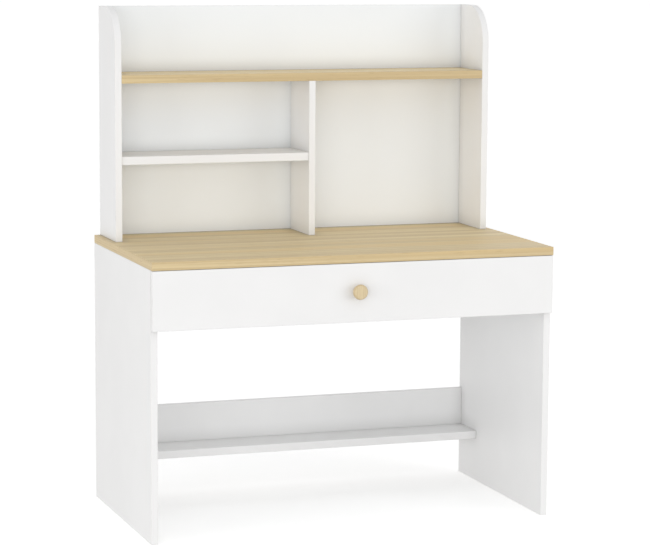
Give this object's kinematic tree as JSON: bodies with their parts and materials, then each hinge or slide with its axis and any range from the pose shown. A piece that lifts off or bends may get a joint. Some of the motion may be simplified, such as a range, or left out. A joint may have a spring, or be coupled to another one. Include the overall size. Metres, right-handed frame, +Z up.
{
  "type": "student desk with hutch",
  "caption": "White panel desk with an oak-look top, a wide sliding drawer with a round knob, a low foot shelf, and a hutch with rounded sides, a divider and shelves.",
  "frame": {"origin": "on the floor, under the centre of the whole outline with the drawer shut and its knob included", "axes": "+X to the right end as seen from the user's seat, +Y towards the back, +Z up; the drawer front faces -Y"},
  "size_m": [1.1, 0.626, 1.352],
  "materials": {
    "oak_board": "light oak-look laminate, satin, grain along the width",
    "white_board": "white melamine, satin",
    "white_hardboard": "white lacquered thin board",
    "knob_wood": "clear-lacquered light wood",
    "runner_enamel": "white baked enamel on folded steel",
    "roller_nylon": "moulded white nylon",
    "zinc_steel": "zinc-plated steel",
    "beech_dowel": "plain beech"
  },
  "bodies": {
    "desk": {"tabletop": "oak_board", "left_leg_panel": "white_board", "right_leg_panel": "white_board", "rear_rail": "white_board", "modesty_panel": "white_board", "foot_shelf": "white_board", "hutch_left_side": "white_board", "hutch_right_side": "white_board", "hutch_upper_shelf": "oak_board", "hutch_divider": "white_board", "hutch_small_shelf": "white_board", "hutch_back_panel": "white_hardboard", "left_cabinet_runner": "runner_enamel", "right_cabinet_runner": "runner_enamel", "left_front_roller_pin": "zinc_steel", "right_front_roller_pin": "zinc_steel", "cabinet_runner_screws": "zinc_steel", "desk_cam_locks": "zinc_steel", "desk_cam_bolts": "zinc_steel", "desk_dowels": "beech_dowel", "hutch_cam_locks": "zinc_steel", "hutch_cam_bolts": "zinc_steel", "hutch_dowels": "beech_dowel", "hutch_connector_screws": "zinc_steel", "back_panel_screws": "zinc_steel"},
    "drawer": {"drawer_front": "white_board", "drawer_left_side": "white_board", "drawer_right_side": "white_board", "drawer_back": "white_board", "drawer_brace": "white_board", "drawer_bottom": "white_hardboard", "knob": "knob_wood", "knob_screw": "zinc_steel", "left_drawer_runner": "runner_enamel", "right_drawer_runner": "runner_enamel", "left_rear_roller_pin": "zinc_steel", "right_rear_roller_pin": "zinc_steel", "drawer_runner_screws": "zinc_steel", "drawer_cam_locks": "zinc_steel", "drawer_cam_bolts": "zinc_steel", "drawer_screws": "zinc_steel", "drawer_dowels": "beech_dowel"},
    "left_front_wheel": {"left_front_roller": "roller_nylon"},
    "right_front_wheel": {"right_front_roller": "roller_nylon"},
    "left_rear_wheel": {"left_rear_roller": "roller_nylon"},
    "right_rear_wheel": {"right_rear_roller": "roller_nylon"}
  },
  "joints": [
    {"name": "drawer_slide", "type": "slide", "parent": "desk", "child": "drawer", "axis": [0, -1, 0], "range_m": [0, 0.375]},
    {"name": "left_front_roll", "type": "hinge", "parent": "desk", "child": "left_front_wheel", "pos_m": [-0.52575, -0.2555, 0.5795], "axis": [1, 0, 0], "range_deg": [0, 2262]},
    {"name": "right_front_roll", "type": "hinge", "parent": "desk", "child": "right_front_wheel", "pos_m": [0.52575, -0.2555, 0.5795], "axis": [1, 0, 0], "range_deg": [0, 2262]},
    {"name": "left_rear_roll", "type": "hinge", "parent": "drawer", "child": "left_rear_wheel", "pos_m": [-0.52575, 0.214, 0.581], "axis": [1, 0, 0], "range_deg": [0, 2262]},
    {"name": "right_rear_roll", "type": "hinge", "parent": "drawer", "child": "right_rear_wheel", "pos_m": [0.52575, 0.214, 0.581], "axis": [1, 0, 0], "range_deg": [0, 2262]}
  ],
  "couplings": [
    {"joint": "left_front_roll", "follows": "drawer_slide", "rad_per_m": 105.26},
    {"joint": "right_front_roll", "follows": "drawer_slide", "rad_per_m": 105.26},
    {"joint": "left_rear_roll", "follows": "drawer_slide", "rad_per_m": 105.26},
    {"joint": "right_rear_roll", "follows": "drawer_slide", "rad_per_m": 105.26}
  ]
}
